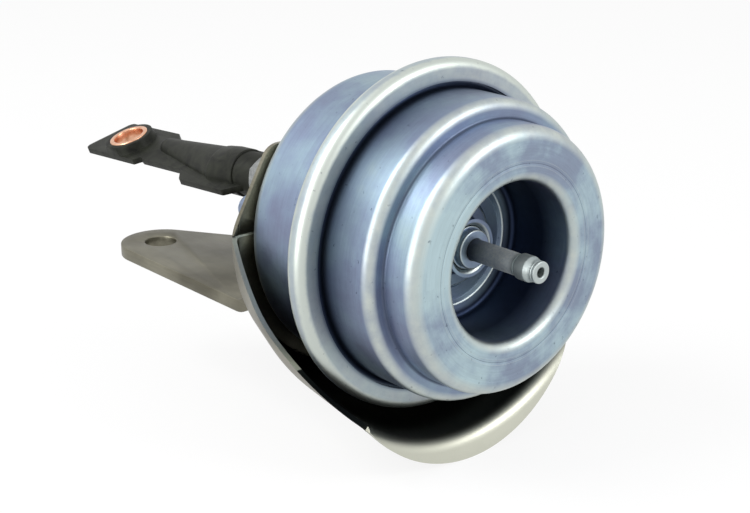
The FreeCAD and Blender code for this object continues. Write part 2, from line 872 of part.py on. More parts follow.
os.makedirs("parts", exist_ok=True)
for name, make in pieces.items():
    shape = make()
    shape.translate(Vector(-bolt_hole_x, -bolt_hole_y, -arm_top_z))
    shape.exportStep(os.path.join("parts", name + ".step"))
    box = shape.BoundBox
    low = (round(box.XMin, 2), round(box.YMin, 2), round(box.ZMin, 2))
    high = (round(box.XMax, 2), round(box.YMax, 2), round(box.ZMax, 2))
    print(name, len(shape.Solids), shape.isValid(), round(shape.Volume, 1), low, high)
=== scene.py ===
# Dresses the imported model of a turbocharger's vacuum actuator for a studio photograph.
# Lengths are in metres, most of them written as millimetres times MM. Sizes of patterns
# and places in a material are plain millimetres, where a comment says so.
import math

import bmesh
import bpy
from mathutils import Matrix, Vector


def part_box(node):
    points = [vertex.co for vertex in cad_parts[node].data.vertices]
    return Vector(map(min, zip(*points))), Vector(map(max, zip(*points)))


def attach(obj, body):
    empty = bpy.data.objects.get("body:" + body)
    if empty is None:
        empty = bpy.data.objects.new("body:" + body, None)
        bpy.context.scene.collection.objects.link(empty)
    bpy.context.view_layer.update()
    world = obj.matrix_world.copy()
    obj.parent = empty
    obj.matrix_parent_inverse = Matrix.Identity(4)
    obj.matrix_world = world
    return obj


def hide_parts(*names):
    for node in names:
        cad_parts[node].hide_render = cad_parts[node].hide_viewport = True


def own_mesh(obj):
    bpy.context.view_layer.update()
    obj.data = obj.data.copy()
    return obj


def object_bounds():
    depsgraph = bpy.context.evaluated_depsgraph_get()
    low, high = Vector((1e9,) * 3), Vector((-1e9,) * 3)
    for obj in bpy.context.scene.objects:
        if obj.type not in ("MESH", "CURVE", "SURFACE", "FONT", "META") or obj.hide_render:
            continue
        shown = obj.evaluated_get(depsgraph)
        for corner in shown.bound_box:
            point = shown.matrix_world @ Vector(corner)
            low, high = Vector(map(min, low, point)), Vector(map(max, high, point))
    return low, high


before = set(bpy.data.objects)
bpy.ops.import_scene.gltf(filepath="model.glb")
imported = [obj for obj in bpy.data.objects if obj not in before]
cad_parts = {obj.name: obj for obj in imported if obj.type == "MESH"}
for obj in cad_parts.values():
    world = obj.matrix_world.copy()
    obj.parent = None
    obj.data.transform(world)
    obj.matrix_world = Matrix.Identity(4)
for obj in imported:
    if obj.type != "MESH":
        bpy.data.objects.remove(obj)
cad_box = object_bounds()
MM = 0.001


# Rear can: the rod's half of the body. Deep-drawn from 1.1 mm steel sheet and plated,
# and its rim is rolled forward over the front can's flange. Three vents open behind.

rear_low, rear_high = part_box("rear_can")
axis_y = (rear_low.y + rear_high.y) / 2
axis_z = (rear_low.z + rear_high.z) / 2
rim_radius = (rear_high.z - rear_low.z) / 2
can_sheet = 1.1 * MM
clamp_x = rear_high.x - 2 * can_sheet
rear_can_radius = 27.9 * MM
guide_hole_radius = 5.0 * MM
crimp_lip_radius = 28.95 * MM
rim_bend = 1.8 * MM
base_bend = 3.0 * MM
clamp_bend = 1.5 * MM
can_sides = 240
crease_angle = 35.0


def rounded(corners, arc_steps=8):
    """Outline points (x, radius, bend) from corners, with an arc of points at each bend.

    The third value of a point is +1 on a bend that bulges from the metal, -1 in a hollow.
    """
    outline = []
    count = len(corners)
    area = sum(
        a[0] * b[1] - b[0] * a[1] for a, b in zip(corners, list(corners[1:]) + [corners[0]])
    )
    for index, (x, radius, bend) in enumerate(corners):
        corner = Vector((x, radius))
        if bend <= 0:
            outline.append((x, radius, 0.0))
            continue
        back = (Vector(corners[index - 1][:2]) - corner).normalized()
        ahead = (Vector(corners[(index + 1) % count][:2]) - corner).normalized()
        half_angle = back.angle(ahead) / 2
        centre = corner + (back + ahead).normalized() * bend / math.sin(half_angle)
        start = (corner + back * bend / math.tan(half_angle) - centre).normalized()
        end = (corner + ahead * bend / math.tan(half_angle) - centre).normalized()
        turn = ahead.x * back.y - ahead.y * back.x
        bulge = math.copysign(1.0, turn * area)
        for step in range(arc_steps + 1):
            share = step / arc_steps
            place = centre + start.slerp(end, share) * bend
            outline.append((place.x, place.y, bulge * math.sin(math.pi * share)))
    return outline


def bent_sheet(path, sheet):
    """Closed corners of a bent sheet that lies on the right-hand side of its path."""
    normals = []
    for (x0, r0, _), (x1, r1, _) in zip(path, path[1:]):
        length = math.hypot(x1 - x0, r1 - r0)
        normals.append(((r1 - r0) / length, -(x1 - x0) / length))
    other_face = []
    for index, (x, radius, bend) in enumerate(path):
        before = normals[max(index - 1, 0)]
        after = normals[min(index, len(path) - 2)]
        spread = 1 + before[0] * after[0] + before[1] * after[1]
        turn = before[0] * after[1] - before[1] * after[0]
        other_bend = max(bend + math.copysign(sheet, turn), 0) if bend > 0 else 0
        other_x = x + sheet * (before[0] + after[0]) / spread
        other_radius = radius + sheet * (before[1] + after[1]) / spread
        other_face.append((other_x, other_radius, other_bend))
    return list(path) + other_face[::-1]


def turned(name, outline, sides=can_sides):
    """Piece of revolution about the can's axis, with its bends kept as a mesh attribute."""
    shape = bmesh.new()
    bend_layer = shape.verts.layers.float.new("bend")
    rings = []
    for x, radius, bulge in outline:
        ring = []
        for step in range(sides):
            angle = 2 * math.pi * step / sides
            vertex = shape.verts.new(
                (x, axis_y + radius * math.cos(angle), axis_z + radius * math.sin(angle))
            )
            vertex[bend_layer] = bulge
            ring.append(vertex)
        rings.append(ring)
    for ring, following in zip(rings, rings[1:] + rings[:1]):
        for step in range(sides):
            ahead = (step + 1) % sides
            shape.faces.new((ring[step], ring[ahead], following[ahead], following[step]))
    bmesh.ops.remove_doubles(shape, verts=shape.verts, dist=1e-7)
    bmesh.ops.recalc_face_normals(shape, faces=shape.faces)
    return finished(name, shape)


def finished(name, shape, crease=crease_angle):
    """Object made from a bmesh, smooth except across its hard edges."""
    mesh = bpy.data.meshes.new(name)
    shape.to_mesh(mesh)
    shape.free()
    mesh.shade_smooth()
    mesh.set_sharp_from_angle(angle=math.radians(crease))
    piece = bpy.data.objects.new(name, mesh)
    bpy.context.scene.collection.objects.link(piece)
    return piece


def settled(piece, crease=crease_angle):
    """Turn a piece's live modifiers into its mesh."""
    bpy.context.view_layer.update()
    view = bpy.context.evaluated_depsgraph_get()
    mesh = bpy.data.meshes.new_from_object(piece.evaluated_get(view))
    piece.modifiers.clear()
    piece.data = mesh
    mesh.shade_smooth()
    mesh.set_sharp_from_angle(angle=math.radians(crease))
    return piece


def dress(piece, body, material, node):
    """Give a piece its material, its body and the CAD node that it replaces."""
    piece.data.materials.clear()
    piece.data.materials.append(material)
    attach(piece, body)
    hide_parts(node)


def linear(hex_colour):
    """Linear RGBA of an sRGB hex colour."""
    channels = [int(hex_colour[place:place + 2], 16) / 255 for place in (0, 2, 4)]
    light = [c / 12.92 if c <= 0.04045 else ((c + 0.055) / 1.055) ** 2.4 for c in channels]
    return (*light, 1.0)


def add_node(tree, kind, inputs=None, **settings):
    """Add a node. Each input is a value, or another node's output to link."""
    node = tree.nodes.new(kind)
    for name, value in settings.items():
        setattr(node, name, value)
    for socket, value in (inputs or {}).items():
        if isinstance(value, bpy.types.NodeSocket):
            tree.links.new(value, node.inputs[socket])
        else:
            node.inputs[socket].default_value = value
    return node


def set_ramp(node, stops):
    """Place a colour ramp's stops, as (place, sRGB hex)."""
    stops_in_use = node.color_ramp.elements
    while len(stops_in_use) < len(stops):
        stops_in_use.new(0.5)
    for element, (place, colour) in zip(stops_in_use, stops):
        element.position = place
        element.color = linear(colour)


def new_finish(name, metallic, roughness=0.5):
    """Material with a Principled shader and coordinates in mm about the can's axis."""
    material = bpy.data.materials.new(name)
    material.use_nodes = True
    tree = material.node_tree
    shader = next(node for node in tree.nodes if node.type == "BSDF_PRINCIPLED")
    shader.inputs["Roughness"].default_value = roughness
    shader.inputs["Metallic"].default_value = metallic
    coordinates = add_node(tree, "ShaderNodeTexCoord")
    in_mm = add_node(
        tree,
        "ShaderNodeMapping",
        {
            "Vector": coordinates.outputs["Object"],
            "Location": (-clamp_x / MM, -axis_y / MM, -axis_z / MM),
            "Scale": (1 / MM, 1 / MM, 1 / MM),
        },
    )
    return material, tree, shader, in_mm.outputs["Vector"]


# Zinc plating with a blue passivation, on drawn steel. The film is a few hundred
# nanometres thick, so it shifts from steel blue to violet and pale cyan in soft patches.
# Painted highlights in cream grey lie on the outward bends and the rim, painted shade lies
# in the hollows, beside the rim and down the recess, and the flat face is painted paler.
# Pattern sizes are in mm. A zone fades in from its first place and is full at its second,
# in mm ahead of the clamp or from the axis.
film_patch = 16.667
mark_spacing = 0.3846
highlight_patch = 2.857
stain_spacing = 1.0
grain_size = 0.625
mark_depth = 0.02 * MM
face_zone = {"From Min": 20.4, "From Max": 21.1}
front_zone = {"From Min": 0.0, "From Max": 1.0}
skirt_zone = {"From Min": 13.5, "From Max": 2.5}
rim_zone = {"From Min": crimp_lip_radius / MM - 0.5, "From Max": crimp_lip_radius / MM + 0.8}
off_rim_zone = {"From Min": crimp_lip_radius / MM + 0.5, "From Max": crimp_lip_radius / MM - 0.5}
body_zone = {"From Min": 20.0, "From Max": 22.0}
recess_zone = {"From Min": 19.0, "From Max": 13.5}
recess_floor_zone = {"From Min": 12.6, "From Max": 13.6}
recess_wall_zone = {"From Min": 18.0, "From Max": 16.5}
passivated_zinc, tree, shader, in_mm = new_finish("blue passivated zinc", 1.0)
patches = add_node(
    tree,
    "ShaderNodeTexNoise",
    {"Vector": in_mm, "Scale": 1 / film_patch, "Detail": 7.0, "Roughness": 0.6},
)
film = add_node(tree, "ShaderNodeValToRGB", {"Fac": patches.outputs["Fac"]})
set_ramp(film, [(0.3, "7B819A"), (0.45, "8492A9"), (0.58, "90A4B3"), (0.74, "9DB0B4")])
split = add_node(tree, "ShaderNodeSeparateXYZ", {"Vector": in_mm})
across = add_node(
    tree, "ShaderNodeCombineXYZ", {"Y": split.outputs["Y"], "Z": split.outputs["Z"]}
)
from_axis = add_node(
    tree, "ShaderNodeVectorMath", {0: across.outputs["Vector"]}, operation="LENGTH"
)
round_axis = add_node(
    tree,
    "ShaderNodeMath",
    {0: split.outputs["Z"], 1: split.outputs["Y"]},
    operation="ARCTAN2",
)
# Drawing marks run round the can, finer in life: this is as fine as the render can show.
die_lines = add_node(
    tree,
    "ShaderNodeCombineXYZ",
    {"X": split.outputs["X"], "Y": from_axis.outputs["Value"], "Z": round_axis.outputs["Value"]},
)
drawing_marks = add_node(
    tree,
    "ShaderNodeTexNoise",
    {
        "Vector": die_lines.outputs["Vector"],
        "Scale": 1 / mark_spacing,
        "Detail": 4.0,
        "Roughness": 0.7,
    },
)
marks_tone = add_node(tree, "ShaderNodeValToRGB", {"Fac": drawing_marks.outputs["Fac"]})
set_ramp(marks_tone, [(0.35, "D8D8D8"), (0.65, "FFFFFF")])
# Painted light: the flat face, which looks to the front, is painted paler, in patches.
face_height = add_node(
    tree,
    "ShaderNodeMapRange",
    {"Value": split.outputs["X"], **face_zone},
)
pale_face_patches = add_node(
    tree,
    "ShaderNodeMapRange",
    {"Value": patches.outputs["Fac"], "From Min": 0.38, "From Max": 0.58, "To Min": 0.2},
)
paler = add_node(
    tree,
    "ShaderNodeMath",
    {0: face_height.outputs["Result"], 1: pale_face_patches.outputs["Result"]},
    operation="MULTIPLY",
)
face_painted_light = add_node(
    tree,
    "ShaderNodeMix",
    {"Factor": paler.outputs["Value"], 6: film.outputs["Color"], 7: linear("B3C8CE")},
    data_type="RGBA",
)
marked = add_node(
    tree,
    "ShaderNodeMix",
    {"Factor": 0.35, 6: face_painted_light.outputs[2], 7: marks_tone.outputs["Color"]},
    data_type="RGBA",
    blend_type="MULTIPLY",
)
# Painted highlight: outward bends and the rim are painted cream grey, in uneven patches.
bend = add_node(tree, "ShaderNodeAttribute", attribute_name="bend")
highlight_breakup = add_node(
    tree,
    "ShaderNodeTexNoise",
    {"Vector": in_mm, "Scale": 1 / highlight_patch, "Detail": 5.0, "Roughness": 0.65},
)
rim_highlight_share = add_node(
    tree,
    "ShaderNodeMapRange",
    {"Value": from_axis.outputs["Value"], **rim_zone, "To Max": 0.7},
)
bend_and_rim_highlight = add_node(
    tree,
    "ShaderNodeMath",
    {0: bend.outputs["Fac"], 1: rim_highlight_share.outputs["Result"]},
    operation="ADD",
)
uneven_highlight = add_node(
    tree, "ShaderNodeMapRange", {"Value": highlight_breakup.outputs["Fac"], "To Min": 0.25, "To Max": 1.25}
)
painted_highlight_share = add_node(
    tree,
    "ShaderNodeMath",
    {0: bend_and_rim_highlight.outputs["Value"], 1: uneven_highlight.outputs["Result"]},
    operation="MULTIPLY",
    use_clamp=True,
)
painted_highlight = add_node(
    tree,
    "ShaderNodeMix",
    {"Factor": painted_highlight_share.outputs["Value"], 6: marked.outputs[2], 7: linear("C2C9C3")},
    data_type="RGBA",
)
# Painted shade: the hollows of inward bends are painted dark navy.
hollow_shade_share = add_node(
    tree, "ShaderNodeMath", {0: bend.outputs["Fac"], 1: -0.8}, operation="MULTIPLY", use_clamp=True
)
painted_hollow_shade = add_node(
    tree,
    "ShaderNodeMix",
    {"Factor": hollow_shade_share.outputs["Value"], 6: painted_highlight.outputs[2], 7: linear("293348")},
    data_type="RGBA",
)
# Painted shade: the film is painted darker beside the rim and down the recess, where shade falls.
inside_rim = add_node(
    tree,
    "ShaderNodeMapRange",
    {"Value": from_axis.outputs["Value"], **off_rim_zone},
)
beside_rim = add_node(
    tree,
    "ShaderNodeMapRange",
    {"Value": split.outputs["X"], **skirt_zone, "To Max": 0.85},
)
ahead_of_clamp = add_node(
    tree,
    "ShaderNodeMapRange",
    {"Value": split.outputs["X"], **front_zone},
)
outside_recess = add_node(
    tree,
    "ShaderNodeMapRange",
    {"Value": from_axis.outputs["Value"], **body_zone},
)
skirt_shade_raw = add_node(
    tree,
    "ShaderNodeMath",
    {0: beside_rim.outputs["Result"], 1: inside_rim.outputs["Result"]},
    operation="MULTIPLY",
)
skirt_shade_mask = add_node(
    tree,
    "ShaderNodeMath",
    {0: skirt_shade_raw.outputs["Value"], 1: outside_recess.outputs["Result"]},
    operation="MULTIPLY",
)
down_recess = add_node(
    tree,
    "ShaderNodeMapRange",
    {"Value": split.outputs["X"], **recess_zone, "To Max": 0.95},
)
recess_wall = add_node(
    tree,
    "ShaderNodeMapRange",
    {"Value": from_axis.outputs["Value"], **recess_floor_zone},
)
within_recess = add_node(
    tree,
    "ShaderNodeMapRange",
    {"Value": from_axis.outputs["Value"], **recess_wall_zone},
)
deep = add_node(
    tree,
    "ShaderNodeMath",
    {0: down_recess.outputs["Result"], 1: recess_wall.outputs["Result"]},
    operation="MULTIPLY",
)
recess_shade_mask = add_node(
    tree,
    "ShaderNodeMath",
    {0: deep.outputs["Value"], 1: within_recess.outputs["Result"]},
    operation="MULTIPLY",
)
combined_shade = add_node(
    tree,
    "ShaderNodeMath",
    {0: skirt_shade_mask.outputs["Value"], 1: recess_shade_mask.outputs["Value"]},
    operation="MAXIMUM",
)
painted_shade_mask = add_node(
    tree,
    "ShaderNodeMath",
    {0: combined_shade.outputs["Value"], 1: ahead_of_clamp.outputs["Result"]},
    operation="MULTIPLY",
)
# Painted shade: dark navy is mixed in beside the rim and down the recess.
painted_shade_film = add_node(
    tree,
    "ShaderNodeMix",
    {"Factor": painted_shade_mask.outputs["Value"], 6: painted_hollow_shade.outputs[2], 7: linear("232C41")},
    data_type="RGBA",
)
# Pinhead stains are scattered over the film.
stains = add_node(
    tree, "ShaderNodeTexNoise", {"Vector": in_mm, "Scale": 1 / stain_spacing, "Detail": 4.0}
)
stain_tone = add_node(tree, "ShaderNodeValToRGB", {"Fac": stains.outputs["Fac"]})
set_ramp(stain_tone, [(0.24, "6E7480"), (0.32, "FFFFFF")])
stained = add_node(
    tree,
    "ShaderNodeMix",
    {"Factor": 0.6, 6: painted_shade_film.outputs[2], 7: stain_tone.outputs["Color"]},
    data_type="RGBA",
    blend_type="MULTIPLY",
)
tree.links.new(stained.outputs[2], shader.inputs["Base Color"])
grain = add_node(
    tree,
    "ShaderNodeTexNoise",
    {"Vector": in_mm, "Scale": 1 / grain_size, "Detail": 6.0, "Roughness": 0.7},
)
dullness = add_node(
    tree,
    "ShaderNodeMapRange",
    {"Value": grain.outputs["Fac"], "To Min": 0.36, "To Max": 0.54},
)
tree.links.new(dullness.outputs["Result"], shader.inputs["Roughness"])
relief = add_node(
    tree,
    "ShaderNodeBump",
    {"Strength": 0.12, "Distance": mark_depth, "Height": drawing_marks.outputs["Fac"]},
)
tree.links.new(relief.outputs["Normal"], shader.inputs["Normal"])

rear_outline = rounded(
    bent_sheet(
        [
            (rear_low.x, guide_hole_radius, 0),
            (rear_low.x, rear_can_radius, base_bend),
            (clamp_x - 2 * can_sheet, rear_can_radius, clamp_bend),
            (clamp_x - 2 * can_sheet, rim_radius, rim_bend),
            (rear_high.x, rim_radius, rim_bend),
            (rear_high.x, crimp_lip_radius, 0),
        ],
        can_sheet,
    )
)
rear_can = turned("can_rear", rear_outline)

vent_circle = 22.0 * MM
vent_radius = 1.5 * MM
vent_angles = (65.0, 90.0, 115.0)
vent_sides = 48
drills = bmesh.new()
for angle in vent_angles:
    place = Matrix.Translation(
        (
            rear_low.x,
            axis_y + vent_circle * math.cos(math.radians(angle)),
            axis_z + vent_circle * math.sin(math.radians(angle)),
        )
    ) @ Matrix.Rotation(math.pi / 2, 4, "Y")
    bmesh.ops.create_cone(
        drills,
        cap_ends=True,
        segments=vent_sides,
        radius1=vent_radius,
        radius2=vent_radius,
        depth=4 * can_sheet,
        matrix=place,
    )
drill = finished("vent_drills", drills)
vents = rear_can.modifiers.new("vents", "BOOLEAN")
vents.operation = "DIFFERENCE"
vents.solver = "EXACT"
vents.object = drill
settled(rear_can)
bpy.data.objects.remove(drill)
dress(rear_can, "actuator_body", passivated_zinc, "rear_can")


# Front can: the vacuum's half, drawn from the same plated sheet. It steps in twice,
# turns back inside itself as a deep cup, and its floor has a pressed ring and a short
# drawn neck for the nipple's collar. A fine line is pressed round its face.

front_can_radius = 27.8 * MM
flange_gap = 0.9 * MM
flange_radius = rim_radius - can_sheet - flange_gap
flange_bend = 1.0 * MM
shoulder_x = clamp_x + 14.0 * MM
shoulder_bend = 2.0 * MM
neck_radius = 24.3 * MM
neck_bend = 0.6 * MM
face_x = clamp_x + 21.3 * MM
face_bend = 2.5 * MM
press_line_radius = 17.9 * MM
press_line_depth = 0.08 * MM
press_line_width = 0.5 * MM
press_line_bend = 0.3 * MM
cup_radius = 14.55 * MM
cup_mouth_bend = 1.9 * MM
cup_floor_x = clamp_x + 6.0 * MM
floor_bend = 0.9 * MM
ring_outer_radius = 11.8 * MM
ring_inner_radius = 8.0 * MM
ring_slope = 0.6 * MM
ring_depth = 0.8 * MM
ring_edge_bend = 0.5 * MM
ring_foot_bend = 0.2 * MM
floor_neck_radius = 5.1 * MM
floor_neck_x = clamp_x + 9.9 * MM
floor_neck_bend = 0.3 * MM

front_outline = rounded(
    bent_sheet(
        [
            (clamp_x + can_sheet, flange_radius, 0),
            (clamp_x + can_sheet, front_can_radius, flange_bend),
            (shoulder_x, front_can_radius, shoulder_bend),
            (shoulder_x, neck_radius, neck_bend),
            (face_x, neck_radius, face_bend),
            (face_x, press_line_radius + press_line_width, press_line_bend),
            (face_x - press_line_depth, press_line_radius, press_line_bend),
            (face_x, press_line_radius - press_line_width, press_line_bend),
            (face_x, cup_radius, cup_mouth_bend),
            (cup_floor_x, cup_radius, floor_bend),
            (cup_floor_x, ring_outer_radius, ring_edge_bend),
            (cup_floor_x - ring_depth, ring_outer_radius - ring_slope, ring_foot_bend),
            (cup_floor_x - ring_depth, ring_inner_radius + ring_slope, ring_foot_bend),
            (cup_floor_x, ring_inner_radius, ring_edge_bend),
            (cup_floor_x, floor_neck_radius, floor_bend),
            (floor_neck_x, floor_neck_radius, floor_neck_bend),
        ],
        can_sheet,
    )
)
front_can = turned("can_front", front_outline)
dress(front_can, "actuator_body", passivated_zinc, "front_can")


# Nipple and collar: the collar is turned from bar and brazed in the floor's neck. The
# nipple is a 4 mm steel tube with a rolled bead that keeps the rubber hose on.

nipple_low, nipple_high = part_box("vacuum_nipple")
nipple_radius = 2.0 * MM
nipple_bore = 0.9 * MM
bore_edge = 0.3 * MM
bead_radius = (nipple_high.z - nipple_low.z) / 2
bead_x = nipple_high.x - 1.5 * MM
bead_length = 3.4 * MM
bead_front_bend = 0.8 * MM
bead_back_bend = 0.5 * MM
groove_depth = 0.15 * MM
groove_width = 0.3 * MM
nose_radius = 2.0 * MM
nose_edge = 0.2 * MM
nose_root_bend = 0.3 * MM
ridge_step = 0.45 * MM
ridge_depth = 0.08 * MM
ridge_bend = 0.1 * MM
nipple_sides = 96
collar_low, collar_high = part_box("nipple_collar")
collar_radius = 3.66 * MM
collar_neck_radius = 3.98 * MM
collar_foot_radius = (collar_high.z - collar_low.z) / 2
collar_head_length = 1.6 * MM
collar_sides = 128
collar_edges = {"bore": 0.15 * MM, "head": 0.35 * MM, "neck": 0.2 * MM, "foot": 0.4 * MM}
braze_gap = 0.02 * MM
collar_bore = nipple_radius + braze_gap

# Drawn steel: a dull cool grey with a fine grain. The tube's root is painted dark as painted
# shade in the recess, and the bead is handled with each hose change and is duller than the tube
# behind it.
# Sizes are in mm, as are the zones, ahead of the clamp.
turning_line = 0.5
turning_depth = 0.02 * MM
root_shade_zone = {"From Min": 17.0, "From Max": 11.2}
bead_zone = {"From Min": 21.0, "From Max": 22.0}
drawn_steel, tree, shader, in_mm = new_finish("drawn steel tube", 1.0)
turning = add_node(
    tree,
    "ShaderNodeTexNoise",
    {"Vector": in_mm, "Scale": 1 / turning_line, "Detail": 5.0, "Roughness": 0.6},
)
steel_tone = add_node(tree, "ShaderNodeValToRGB", {"Fac": turning.outputs["Fac"]})
set_ramp(steel_tone, [(0.35, "D3DADD"), (0.7, "EEF1EE")])
along = add_node(tree, "ShaderNodeSeparateXYZ", {"Vector": in_mm})
# Painted shade: the tube darkens to navy towards its root in the recess.
root_shade_share = add_node(
    tree,
    "ShaderNodeMapRange",
    {"Value": along.outputs["X"], **root_shade_zone, "To Max": 0.94},
    interpolation_type="SMOOTHSTEP",
)
root_shaded = add_node(
    tree,
    "ShaderNodeMix",
    {"Factor": root_shade_share.outputs["Result"], 6: steel_tone.outputs["Color"], 7: linear("141A29")},
    data_type="RGBA",
)
bead_share = add_node(
    tree,
    "ShaderNodeMapRange",
    {"Value": along.outputs["X"], **bead_zone, "To Max": 0.75},
)
handled = add_node(
    tree,
    "ShaderNodeMix",
    {"Factor": bead_share.outputs["Result"], 6: root_shaded.outputs[2], 7: linear("A0AAA9")},
    data_type="RGBA",
)
tree.links.new(handled.outputs[2], shader.inputs["Base Color"])
dullness = add_node(
    tree,
    "ShaderNodeMapRange",
    {"Value": along.outputs["X"], **bead_zone, "To Min": 0.58, "To Max": 0.5},
)
tree.links.new(dullness.outputs["Result"], shader.inputs["Roughness"])
relief = add_node(
    tree,
    "ShaderNodeBump",
    {"Strength": 0.15, "Distance": turning_depth, "Height": turning.outputs["Fac"]},
)
tree.links.new(relief.outputs["Normal"], shader.inputs["Normal"])

groove_x = bead_x - bead_length
nipple_outline = rounded(
    [
        (nipple_low.x, nipple_bore, 0),
        (nipple_high.x, nipple_bore, bore_edge),
        (nipple_high.x, nose_radius, nose_edge),
        (nipple_high.x - ridge_step, nose_radius, ridge_bend),
        (nipple_high.x - 1.5 * ridge_step, nose_radius - ridge_depth, ridge_bend),
        (nipple_high.x - 2 * ridge_step, nose_radius, ridge_bend),
        (nipple_high.x - 2.5 * ridge_step, nose_radius - ridge_depth, ridge_bend),
        (bead_x, nose_radius, nose_root_bend),
        (bead_x - bead_front_bend, bead_radius, bead_front_bend),
        (groove_x, bead_radius, bead_back_bend),
        (groove_x, nipple_radius - groove_depth, 0),
        (groove_x - groove_width, nipple_radius - groove_depth, 0),
        (groove_x - groove_width, nipple_radius, 0),
        (nipple_low.x, nipple_radius, 0),
    ]
)
nipple = turned("hose_nipple", nipple_outline, nipple_sides)
dress(nipple, "actuator_body", drawn_steel, "vacuum_nipple")

collar_neck_x = cup_floor_x - can_sheet
collar_outline = rounded(
    [
        (collar_low.x, collar_bore, 0),
        (collar_high.x, collar_bore, collar_edges["bore"]),
        (collar_high.x, collar_radius, collar_edges["head"]),
        (collar_high.x - collar_head_length, collar_radius, 0),
        (collar_high.x - collar_head_length, collar_neck_radius, collar_edges["neck"]),
        (collar_neck_x, collar_neck_radius, 0),
        (collar_neck_x, collar_foot_radius, 0),
        (collar_low.x, collar_foot_radius, collar_edges["foot"]),
    ]
)
collar = turned("hose_nipple_collar", collar_outline, collar_sides)
dress(collar, "actuator_body", passivated_zinc, "nipple_collar")


# Heat shield and bracket: the shield is pressed from 0.9 mm stainless sheet and the
# bracket is bent from 2.5 mm stainless plate, both left as they came from the press.

# Stainless sheet with a mill finish: a warm grey, with faint rolling lines along X and a
# soft broken gloss. Sizes are in mm, as is the lip's zone.
shield_low, shield_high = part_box("heat_shield")
rolling_length = 6.410
rolling_width = 0.4808
rolling_depth = 0.03 * MM
cloud_size = 11.11
lip_x = (shield_high.x - clamp_x) / MM
lip_zone = {"From Min": lip_x - 3.8, "From Max": lip_x - 0.8}
mill_stainless, tree, shader, in_mm = new_finish("mill finish stainless", 1.0)
stretch = add_node(
    tree,
    "ShaderNodeMapping",
    {"Vector": in_mm, "Scale": (1 / rolling_length, 1 / rolling_width, 1 / rolling_width)},
)
rolling = add_node(
    tree,
    "ShaderNodeTexNoise",
    {"Vector": stretch.outputs["Vector"], "Scale": 1.0, "Detail": 5.0, "Roughness": 0.65},
)
clouds = add_node(
    tree, "ShaderNodeTexNoise", {"Vector": in_mm, "Scale": 1 / cloud_size, "Detail": 4.0}
)
sheet_tone = add_node(tree, "ShaderNodeValToRGB", {"Fac": clouds.outputs["Fac"]})
set_ramp(sheet_tone, [(0.35, "666356"), (0.65, "888576")])
rolled_tone = add_node(tree, "ShaderNodeValToRGB", {"Fac": rolling.outputs["Fac"]})
set_ramp(rolled_tone, [(0.3, "CFCFCF"), (0.7, "FFFFFF")])
rolled = add_node(
    tree,
    "ShaderNodeMix",
    {"Factor": 0.6, 6: sheet_tone.outputs["Color"], 7: rolled_tone.outputs["Color"]},
    data_type="RGBA",
    blend_type="MULTIPLY",
)
# Painted light: the shield's flared lip and cut edges are painted bright as highlights, and its
# inner face is painted black as shade up to there.
along = add_node(tree, "ShaderNodeSeparateXYZ", {"Vector": in_mm})
inside = add_node(tree, "ShaderNodeAttribute", attribute_name="inside")
cut_edge = add_node(tree, "ShaderNodeAttribute", attribute_name="cut_edge")
on_lip = add_node(
    tree,
    "ShaderNodeMapRange",
    {"Value": along.outputs["X"], **lip_zone},
    interpolation_type="SMOOTHSTEP",
)
lip_highlight_share = add_node(
    tree,
    "ShaderNodeMath",
    {0: on_lip.outputs["Result"], 1: cut_edge.outputs["Fac"]},
    operation="MAXIMUM",
)
painted_lip_highlight = add_node(
    tree,
    "ShaderNodeMix",
    {"Factor": lip_highlight_share.outputs["Value"], 6: rolled.outputs[2], 7: linear("BDBEB1")},
    data_type="RGBA",
)
off_lip = add_node(
    tree,
    "ShaderNodeMath",
    {0: 1.0, 1: on_lip.outputs["Result"]},
    operation="SUBTRACT",
)
# Painted shade: the inner face behind the lip is painted near black.
inner_shade_share = add_node(
    tree,
    "ShaderNodeMath",
    {0: off_lip.outputs["Value"], 1: inside.outputs["Fac"]},
    operation="MULTIPLY",
)
sheet_colour = add_node(
    tree,
    "ShaderNodeMix",
    {"Factor": inner_shade_share.outputs["Value"], 6: painted_lip_highlight.outputs[2], 7: linear("1B1D1C")},
    data_type="RGBA",
)
tree.links.new(sheet_colour.outputs[2], shader.inputs["Base Color"])
dullness = add_node(
    tree, "ShaderNodeMapRange", {"Value": rolling.outputs["Fac"], "To Min": 0.3, "To Max": 0.5}
)
tree.links.new(dullness.outputs["Result"], shader.inputs["Roughness"])
relief = add_node(
    tree,
    "ShaderNodeBump",
    {"Strength": 0.2, "Distance": rolling_depth, "Height": rolling.outputs["Fac"]},
)
tree.links.new(relief.outputs["Normal"], shader.inputs["Normal"])


def break_edges(piece, width, crease):
    """Break a piece's hard edges with a small bevel."""
    bevel = piece.modifiers.new("broken edge", "BEVEL")
    bevel.width = width
    bevel.segments = 2
    bevel.limit_method = "ANGLE"
    bevel.angle_limit = math.radians(crease)


def eased_copy(node, name, edge=0.0, crease=crease_angle):
    """Copy of a CAD node with its flats merged and, where asked, its edges broken."""
    shape = bmesh.new()
    shape.from_mesh(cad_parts[node].data)
    bmesh.ops.remove_doubles(shape, verts=shape.verts, dist=1e-6)
    bmesh.ops.dissolve_limit(
        shape, angle_limit=math.radians(0.5), verts=shape.verts, edges=shape.edges
    )
    piece = finished(name, shape, crease)
    if edge:
        break_edges(piece, edge, crease)
        settled(piece, crease)
    return piece


# A face looks inwards or outwards if this much of its normal is along the radius.
radial_share = 0.3
back_plate_depth = 2.0 * MM
